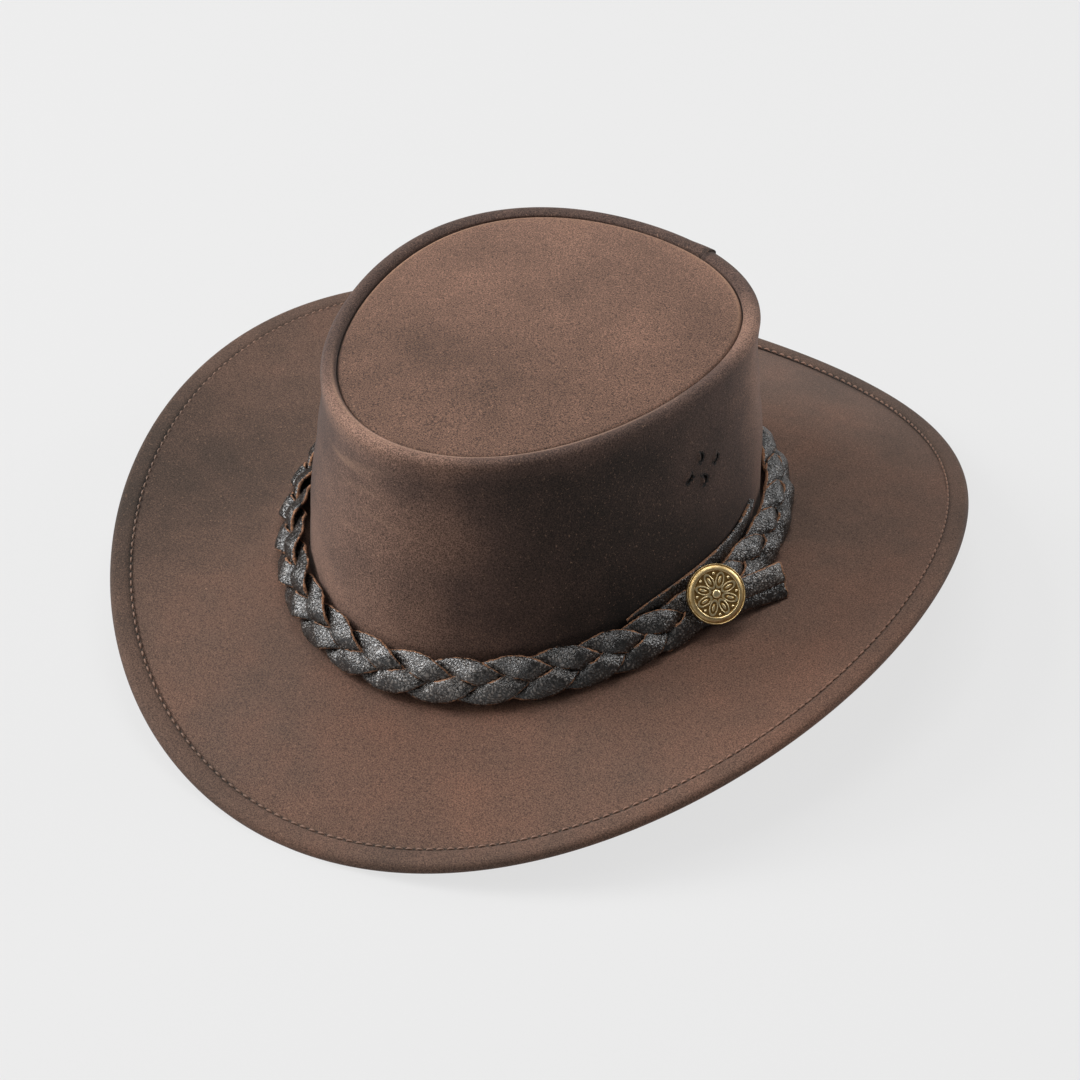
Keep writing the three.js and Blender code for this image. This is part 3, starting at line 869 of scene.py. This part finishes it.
def pucker(way, row, number):
    """Small folds that bends press into a lace, for a way along it, all in millimetres."""
    coarse = math.sin(way / 0.83 + 2.2 * row + 1.7 * number + 1.5 * math.sin(way / 7.1))
    fine = math.sin(way / 0.47 - 3.1 * row + 1.3 * math.sin(way / 3.3 + number))
    return 0.13 * coarse + 0.08 * fine


def strand_section(share, number):
    phase = strand_phase(share, number)
    step = 1 / (BAND_WAVES * 120)
    middle = strand_point(share, number)
    along = (strand_point(share + step, number) - strand_point(share - step, number)).normalized()
    face = band_frame(share)[3]
    flat = (face - along * face.dot(along)).normalized()
    across = flat.cross(along).normalized()
    roll = -STRAND_ROLL * math.cos(phase) - STRAND_TWIST * math.cos(3 * phase)
    side = across * math.cos(roll) + flat * math.sin(roll)
    top = flat * math.cos(roll) - across * math.sin(roll)
    width = STRAND_WIDTH * (1 - 0.1 * math.sin(2 * phase))
    way = share * BAND_LENGTH
    ring = []
    for row, (a, u) in enumerate(strap_section(width, STRAND_THICK)):
        press = pucker(way, row, number) if row in STRAP_FACE else 0
        ragged = 0
        if row in STRAP_EDGES:
            ragged = 0.18 * math.sin(way / 0.61 + row + number) * math.sin(way / 2.3)
        ring.append(middle + side * (a + ragged) + top * (u + press))
    return ring


def strand_rub_and_sheen(place, u, v):
    """The band is greyer at the front and round the button: rubbed grey, and painted sheen where its
    lobes catch the light.
    """
    turn = math.atan2(place.x, place.y + CROWN_FORWARD)
    front = 0.2 * near_turn(turn, 166, 0.36)
    return 0.05 + front + 0.15 * near_turn(turn, 98, 0.4)


def make_strand(number):
    columns = BAND_WAVES * WAVE_COLUMNS
    rings = [strand_section(i / columns, number) for i in range(columns)]
    piece = sheet_through(f"band_strand_{number + 1}", rings)
    paint(piece, "raw", strap_raw)
    paint(piece, "rub_and_sheen", strand_rub_and_sheen)
    smooth(piece, 60)
    return piece


strands = [make_strand(number) for number in range(3)]

# Concho and lace ends
seat_middle, seat_along, seat_across, seat_face = band_frame(0)
# Heights over the band's middle line that stack up under the button
BAND_HALF = 1.7 + LACE_LEATHER / 2
TAIL_SLACK = GAP + math.sin(TAIL_RISE) * TAIL_START
STACK = BAND_HALF + TAIL_SLACK + 2 * (LACE_LEATHER + GAP)
TIP_SLACK = math.tan(CONCHO_TIP) * TAIL_START + math.tan(CONCHO_TILT) * TAIL_WIDTH / 2
CONCHO_LIFT = STACK + TIP_SLACK + CONCHO_THICK
concho_face = seat_face.copy()
concho_face.rotate(Matrix.Rotation(-CONCHO_TIP, 3, seat_across))
concho_face.rotate(Matrix.Rotation(-CONCHO_TILT, 3, seat_along))
concho_centre = seat_middle + seat_face * CONCHO_LIFT + seat_across * CONCHO_UP
concho_right = (seat_along - concho_face * seat_along.dot(concho_face)).normalized()
CONCHO_PLACE = frame_matrix(
    concho_right, concho_face.cross(concho_right), concho_face, concho_centre)


# Face of the button, from its edge inwards: width of each ring, and its rise at the inner edge
CONCHO_RINGS = (
    (0.3, 0), (0.2, -0.3), (0.4, 0.3), (0.55, 0.3), (0.55, 0.15), (0.4, 0), (0.35, -0.42),
    (3, 0.05))
CONCHO_GROUND = CONCHO_RADIUS - sum(width for width, rise in CONCHO_RINGS[:-2])
PETAL_COUNT = 8
POST_RADIUS = 1.4
POST_LENGTH = 6.5
POST_DROP = 3.2
# Rosette: height of its ground, and for each form its distance from the middle and its half sizes
GROUND = 0.13
PETAL = (5.3, (2.8, 1.45, 1.5, 1))
SEED = (5.4, (1.6, 0.6, 0.32, 1))
BEAD = (7.7, (0.58, 0.58, 0.4, 1))
BOSS = (0, (1.7, 1.7, 0.6, 1))


def shape_part(parts, matrix):
    """The shape just added is turned to its place on the button and kept."""
    part = bpy.context.active_object
    part.data.transform(matrix)
    parts.append(part)


def on_ground(turned, form):
    reach, size = form
    return turned @ Matrix.Translation((reach, 0, GROUND)) @ Matrix.Diagonal(size)


def make_concho():
    """Cast button: a thin rim, a domed shoulder, a sunk ground with a rosette, a post behind."""
    leave_selection()
    bpy.ops.mesh.primitive_cylinder_add(
        vertices=128, radius=CONCHO_RADIUS, depth=CONCHO_THICK, location=(0, 0, 0))
    disc = bpy.context.active_object
    disc.data.transform(Matrix.Translation((0, 0, -CONCHO_THICK / 2)))
    for face in disc.data.polygons:
        face.select = face.normal.z > 0.9
    bpy.ops.object.mode_set(mode="EDIT")
    bpy.ops.mesh.select_mode(type="FACE")
    for width, rise in CONCHO_RINGS:
        bpy.ops.mesh.inset(thickness=width)
        bpy.ops.transform.translate(value=(0, 0, rise))
    bpy.ops.object.mode_set(mode="OBJECT")
    bevel = disc.modifiers.new("rounded_edges", "BEVEL")
    bevel.width = 0.3
    bevel.segments = 3
    bevel.limit_method = "ANGLE"
    bevel.angle_limit = math.radians(30)
    apply_modifiers(disc)
    parts = [disc]
    bpy.ops.mesh.primitive_cylinder_add(
        vertices=24, radius=POST_RADIUS, depth=POST_LENGTH, location=(0, 0, 0))
    shape_part(parts, Matrix.Translation((0, 0, -CONCHO_THICK - POST_DROP)))
    for i in range(PETAL_COUNT):
        turned = Matrix.Rotation(FULL_TURN * i / PETAL_COUNT, 4, "Z")
        between = Matrix.Rotation(FULL_TURN * (i + 0.5) / PETAL_COUNT, 4, "Z")
        bpy.ops.mesh.primitive_torus_add(
            major_radius=1, minor_radius=0.2, major_segments=28, minor_segments=8,
            location=(0, 0, 0))
        shape_part(parts, on_ground(turned, PETAL))
        bpy.ops.mesh.primitive_uv_sphere_add(
            segments=16, ring_count=8, radius=1, location=(0, 0, 0))
        shape_part(parts, on_ground(turned, SEED))
        bpy.ops.mesh.primitive_uv_sphere_add(
            segments=12, ring_count=8, radius=1, location=(0, 0, 0))
        shape_part(parts, on_ground(between, BEAD))
    bpy.ops.mesh.primitive_uv_sphere_add(segments=24, ring_count=12, radius=1, location=(0, 0, 0))
    shape_part(parts, on_ground(Matrix.Identity(4), BOSS))
    whole = join(parts, "concho_button")

    def polish_at(place):
        reach = math.hypot(place.x, place.y)
        if place.z < -1:
            return 0.35
        if reach < CONCHO_GROUND:
            return 0.22 + 0.6 * smooth_step(GROUND + 0.1, GROUND + 0.26, place.z)
        return 0.55 if place.z > -0.12 else 0.15 + 0.3 * smooth_step(-0.3, -0.12, place.z)

    layer = whole.data.attributes.new("polish", "FLOAT", "POINT")
    layer.data.foreach_set("value", [polish_at(vertex.co) for vertex in whole.data.vertices])
    whole.data.transform(CONCHO_PLACE)
    smooth(whole, 35)
    return whole


def make_tail(name, layer, down, reach, splay, rub_and_sheen):
    """A square-cut lace end that runs on from under the concho."""
    lift = BAND_HALF + TAIL_SLACK + LACE_LEATHER / 2 + layer * (LACE_LEATHER + GAP)
    along = seat_along.copy()
    along.rotate(Matrix.Rotation(-TAIL_RISE, 3, seat_across))
    along.rotate(Matrix.Rotation(-math.radians(splay), 3, seat_face))
    face = (seat_face - along * seat_face.dot(along)).normalized()
    across = face.cross(along)
    start = seat_middle + seat_face * lift + seat_across * (CONCHO_UP - down)
    section = strap_section(TAIL_WIDTH, LACE_LEATHER)

    def place(u, v):
        row = round(v * len(section)) % len(section)
        a, up = section[row]
        way = mix(-TAIL_START, reach + 0.35 * math.sin(2.1 * row), u)
        sag = -0.5 * u * u * u + 0.25 * math.sin(7 * u + layer)
        press = pucker(way, row, layer) if row in STRAP_FACE else 0
        aside = a + 0.3 * math.sin(5 * u + 2 * layer)
        return start + along * way + across * aside + face * (up + sag + press)

    piece = shaped_sheet(name, LACE_COLUMNS, len(section), place, (False, True))
    close_ends(piece)
    paint(piece, "raw", lambda spot, u, v: max(strap_raw(spot, u, v), smooth_step(0.975, 0.99, u)))
    paint(piece, "rub_and_sheen", lambda spot, u, v: rub_and_sheen)
    smooth(piece, 60)
    return piece


def make_loose_lace():
    """Loose lace end on the crown wall: from behind the band, rising to a point."""
    section = strap_section(1, LACE_LEATHER)

    def place(u, v):
        row = round(v * len(section)) % len(section)
        a, up = section[row]
        turn = mix(LACE_FROM, LACE_TO, u)
        left = (1 - u) * (LACE_FROM - LACE_TO) * FOOT[1]
        width = LACE_WIDTH * min(1, 0.1 + left / 17) + 2.5 * smooth_step(25, 45, left)
        upper = LACE_HEIGHT + 1.4 * math.sin(math.pi * u) ** 2 + 4.6 * u ** 5 - 3.5 * (1 - u) ** 10
        height = (upper + (a - 0.5) * width) / (rim_z(turn) - foot_z(turn))
        press = 0.5 * pucker(left, row, 3) if row in STRAP_FACE else 0
        lift = GAP + LACE_LEATHER / 2 + 0.5 * math.sin(math.pi * u)
        return crown_point(turn, height, fold_at(height) + lift + up + press)

    piece = shaped_sheet("loose_lace", LACE_COLUMNS, len(section), place, (False, True))
    close_ends(piece)
    paint(piece, "raw", lambda spot, u, v: strap_raw(spot, u, v) * (1 - 0.3 * u))
    paint(piece, "rub_and_sheen", lambda spot, u, v: 0.0)
    smooth(piece, 60)
    return piece


concho = make_concho()
# The upper lace end is painted paler than the lower one: painted light on its top face, which catches
# the light.
tail_lower = make_tail("lace_end_lower", 0, 6.2, 32.5, 14, 0.06)
tail_upper = make_tail("lace_end_upper", 1, 2, 33, 11, 0.28)
loose_lace = make_loose_lace()


# Hem stitches
def stitch_line(turn):
    """Bottom of the groove that the stitches lie in."""
    return hem_point(turn, HEM_WIDTH, HEM_RADIUS - GROOVE_DEPTH)


def way_between(start, end):
    return (Vector(end) - Vector(start)).normalized()


def make_stitches():
    """One stitch of thread, copied along the groove of the hem, on both faces."""
    leave_selection()
    bpy.ops.mesh.primitive_cylinder_add(
        vertices=8, radius=STITCH_RADIUS, depth=STITCH_LENGTH, rotation=(0, math.pi / 2, 0),
        location=(0, 0, 0))
    first = bpy.context.active_object
    first.data.transform(first.matrix_world)
    first.matrix_world = Matrix.Identity(4)
    bpy.ops.object.mode_set(mode="EDIT")
    bpy.ops.mesh.select_all(action="SELECT")
    bpy.ops.mesh.subdivide(number_cuts=2)
    bpy.ops.object.mode_set(mode="OBJECT")
    for vertex in first.data.vertices:
        along = vertex.co.x / (STITCH_LENGTH / 2)
        vertex.co.y *= 1 - 0.45 * along * along
        vertex.co.z = vertex.co.z * (1 - 0.4 * along * along) - 0.5 * along * along
    count = 2400
    line = np.array([stitch_line(FULL_TURN * i / count) for i in range(count + 1)])
    shares = np.concatenate([[0], np.cumsum(np.linalg.norm(np.diff(line, axis=0), axis=1))])
    stitches = round(shares[-1] / STITCH_PITCH)
    copies = []
    turns = np.linspace(0, 1, count + 1)
    for i in range(stitches):
        turn = FULL_TURN * np.interp((i + 0.5) / stitches, shares / shares[-1], turns)
        spot = Vector(stitch_line(turn))
        along = way_between(
            hem_point(turn - 0.005, HEM_WIDTH, 0), hem_point(turn + 0.005, HEM_WIDTH, 0))
        inwards = way_between(
            hem_point(turn, HEM_WIDTH - 1, 0), hem_point(turn, HEM_WIDTH + 1, 0))
        out = inwards.cross(along)
        out = (out if out.z > 0 else -out).normalized()
        for side, lift in STITCH_LIFTS:
            copy = first.copy()
            copy.data = first.data.copy()
            bpy.context.collection.objects.link(copy)
            across = out.cross(along) * side
            copy.data.transform(frame_matrix(along, across, out * side, spot + out * lift))
            copies.append(copy)
    bpy.data.objects.remove(first)
    whole = join(copies, "hem_stitches")
    smooth(whole, 60)
    return whole


stitches = make_stitches()

# Dressing
def near_half(turn):
    """0 to 1 from the far half of the crown to the half nearest the camera."""
    return smooth_step(0.1, 0.8, -math.cos(turn + math.radians(15)))


def crown_painted_light_and_tone(place, u, v):
    """Painted light and shade: warm and light in front where the key light falls, near black on the
    shaded side, warm again towards the back as a painted rim light; the cut end of the lap is darker.
    """
    turn = FULL_TURN * u
    # Painted light: warmer and lighter round 200 degrees, where the key light falls, and a painted
    # rim light round 61 degrees.
    warm = 0.2 * near_turn(turn, 200, 0.6) + 0.3 * near_turn(turn, 61, 0.24)
    # Painted shade on the side turned away from the lights.
    dark = 0.2 * near_turn(turn, 125, 0.6)
    cut = 0.15 if round(u * WALL_COLUMNS) in (LAP_COLUMN, LAP_COLUMN + 1) else 0
    up = v * WALL_ROWS / FACE_ROWS
    # Painted light on the near half of the rolled rim.
    lit = 0.19 * near_half(turn) * smooth_step(0.9, 1.02, up) * (1 - smooth_step(1.3, 1.5, up))
    # Painted shade at the foot of the shaded side, next to the band.
    foot_shade = 0.16 * near_turn(turn, 115, 0.5) * (1 - smooth_step(0.1, 0.6, up))
    # Painted light at the foot in front, lifting the shade next to the band.
    low = 0.15 * near_turn(turn, 180, 0.7) * (1 - smooth_step(0.15, 0.55, up))
    # More painted shade on the side turned away from the lights.
    side = 0.05 * near_turn(turn, 100, 0.4)
    # Painted highlight on the fold across the front of the wall.
    bow = 0.11 * near_turn(turn, 156, 0.3) * bell(up, 0.74, 0.2)
    # Painted shade in the slits, over their dark cut edges.
    if in_vent(place):
        return -1.0
    return warm + lit + low + bow - side - dark - foot_shade - cut - 0.07


# Long soft scuffs on the front of the wall: first and last turn in degrees, height as a share of
# the wall, its change along the scuff, and strength
SCUFFS = (
    (176, 212, 0.93, -0.1, 0.16), (184, 214, 0.86, -0.02, 0.2), (180, 206, 0.81, -0.06, 0.14),
    (170, 196, 0.66, 0.05, 0.12), (186, 208, 0.6, -0.05, 0.1),
)


def crown_wear(place, u, v):
    """The crest of the rolled rim is rubbed pale on its inner side, along the near half."""
    turn = FULL_TURN * u
    angle = (v * WALL_ROWS - FACE_ROWS) / ROLL_ROWS
    crest = 0.3 * near_half(turn) * bell(angle, 0.75, 0.08)
    up = v * WALL_ROWS / FACE_ROWS
    scuffs = 0
    for start, end, height, slope, strength in SCUFFS:
        along = (turn - math.radians(start)) / math.radians(end - start)
        if 0 < along < 1 and up < 1:
            scuffs += strength * math.sin(math.pi * along) * bell(up, height + slope * along, 0.012)
    return crest + scuffs


def panel_tone(place, u, v):
    """Paler round its far edge, darker in one old stain and towards the wearer's left."""
    stain = 0.08 * bell((place - Vector((-27.7, -43.4, place.z))).length, 0, 14)
    edge = 0.16 * bell(
        math.hypot(place.x, place.y + CROWN_FORWARD), 90, 16) * smooth_step(-40, 60, place.y)
    left = 0.1 * smooth_step(15, 65, place.x)
    return edge - stain - left - 0.13


def panel_wear(place, u, v):
    """The sewn edge is rubbed pale along the far half."""
    row = v * PANEL_ROWS
    return 0.4 * bell(row, PANEL_FLAT + 3, 2) * smooth_step(
        -0.2, 0.6, math.cos(FULL_TURN * u + 0.4))


# Lighter and darker patches of the brim: turn in degrees, spread, and how much lighter
BRIM_PATCHES = ((245, 0.45, -0.09), (192, 0.3, 0.08), (130, 0.3, -0.07))


def brim_tone(place, u, v):
    """Darker at the back, in the stitched groove and on the hem outside it; paler by the crown's
    foot, as rub and painted light.
    """
    turn = FULL_TURN * u
    back = 0.13 * near_turn(turn, 5, 0.95)
    row = v * BRIM_ROWS
    hem = 0.07 * smooth_step(BRIM_FACE, BRIM_FACE + 3, row)
    hem *= 1 - smooth_step(BRIM_FACE + 19, BRIM_FACE + 22, row)
    groove = 0.35 * bell(row, BRIM_FACE + 2, 1)
    front = 0.05 * near_turn(turn, 160, 0.8)
    patches = sum(rise * near_turn(turn, at, wide) for at, wide, rise in BRIM_PATCHES)
    # Paler by the crown's foot round 245 degrees: a rubbed patch, and painted light that lifts the
    # shade the band casts there.
    rubbed = 0.16 * near_turn(turn, 245, 0.5) * (1 - smooth_step(3, 10, row))
    return front + patches + rubbed - back - hem - groove


paint(crown, "tone", crown_painted_light_and_tone)
paint(crown, "wear", crown_wear)
paint(panel, "tone", panel_tone)
paint(panel, "wear", panel_wear)
paint(brim, "tone", brim_tone)
paint(brim, "wear", lambda place, u, v: 0.0)

dress(crown, crown_nubuck, "crown_leather", "crown_side")
dress(panel, panel_nubuck, "crown_leather", "crown_top")
dress(brim, brim_nubuck, "brim_leather", "brim")
for number, strand in enumerate(strands):
    dress(strand, lace, "band_leather", f"braid_strand_{number + 1}")
dress(tail_upper, lace, "band_leather", "tail_upper")
dress(tail_lower, lace, "band_leather", "tail_lower")
dress(loose_lace, lace, "band_leather", "lace_tail")
dress(concho, brass, "brass", "concho")
dress(stitches, thread, "brim_leather")


# Floor, light and camera. The floor is dark within the first reach from the middle, in metres, as
# painted shade under the crown, and fully lit from the second: without that it shows white through
# the vents.
FLOOR_GLOW = 0.705
FLOOR_SHADE_REACHES = (0.08, 0.12)
# Soft boxes: name, place, aim and side in metres, and power in watts
SOFT_BOXES = (
    ("key_light", (-1.65, -0.6, 1.35), (0, 0, 0.06), 1.1, 56),
    ("top_light", (-0.2, 0.6, 2.1), (0, 0, 0.06), 1.3, 30),
    ("back_light", (1.1, 1.3, 0.9), (0, 0, 0.06), 0.8, 14),
    ("front_light", (-0.5, -1.7, 1.3), (0, 0, 0.06), 1.2, 7),
    ("button_light", (-0.25, -0.69, 1.47), (0.1, -0.05, 0.05), 0.35, 3.5),
)
# The photo's camera: its lens in millimetres, its place in metres and the ways it is turned
LENS = 113.27
CAMERA_PLACE = (0.541898, -0.897404, 0.848482)
CAMERA_RIGHT = (0.855217, 0.51827, -0.000404)
CAMERA_UP = (-0.321911, 0.53181, 0.783295)
CAMERA_BACK = (0.406173, -0.669757, 0.62165)


def make_floor():
    """Plain pale studio floor, evenly lit but for painted shade under the crown."""
    leave_selection()
    bpy.ops.mesh.primitive_plane_add(size=12, location=(0, 0, 0))
    floor = bpy.context.active_object
    floor.name = "studio_floor"
    material, tree, shader = finish("studio_paper")
    shader.inputs["Base Color"].default_value = linear("#444444")
    shader.inputs["Roughness"].default_value = 0.9
    shader.inputs["Emission Color"].default_value = linear("#ffffff")
    place = add(tree, "ShaderNodeTexCoord").outputs["Object"]
    reach = add(tree, "ShaderNodeVectorMath", {"operation": "LENGTH"}, _0=place).outputs["Value"]
    dark, lit = FLOOR_SHADE_REACHES
    glow = add(
        tree, "ShaderNodeMapRange", Value=reach, From_Min=dark, From_Max=lit,
        To_Max=FLOOR_GLOW).outputs[0]
    tree.links.new(glow, shader.inputs["Emission Strength"])
    floor.data.materials.append(material)


def soft_box(name, place, aim, size, power):
    light = bpy.data.lights.new(name, "AREA")
    light.shape = "RECTANGLE"
    light.size = light.size_y = size
    light.energy = power
    box = bpy.data.objects.new(name, light)
    bpy.context.collection.objects.link(box)
    box.location = place
    box.rotation_euler = (Vector(aim) - Vector(place)).to_track_quat("-Z", "Y").to_euler()


make_floor()
for name, place, aim, size, power in SOFT_BOXES:
    soft_box(name, place, aim, size, power)

world = bpy.data.worlds.new("studio_air")
world.use_nodes = True
world.node_tree.nodes["Background"].inputs[0].default_value = linear("#eaeaea")
world.node_tree.nodes["Background"].inputs[1].default_value = 0.16
bpy.context.scene.world = world
bpy.context.scene.view_settings.view_transform = "Standard"

camera_data = bpy.data.cameras.new("camera")
camera_data.sensor_width = 36
camera_data.lens = LENS
camera_data.clip_end = 50
camera = bpy.data.objects.new("camera", camera_data)
bpy.context.collection.objects.link(camera)
turned = Matrix((CAMERA_RIGHT, CAMERA_UP, CAMERA_BACK)).transposed().to_4x4()
camera.matrix_world = Matrix.Translation(CAMERA_PLACE) @ turned
bpy.context.scene.camera = camera
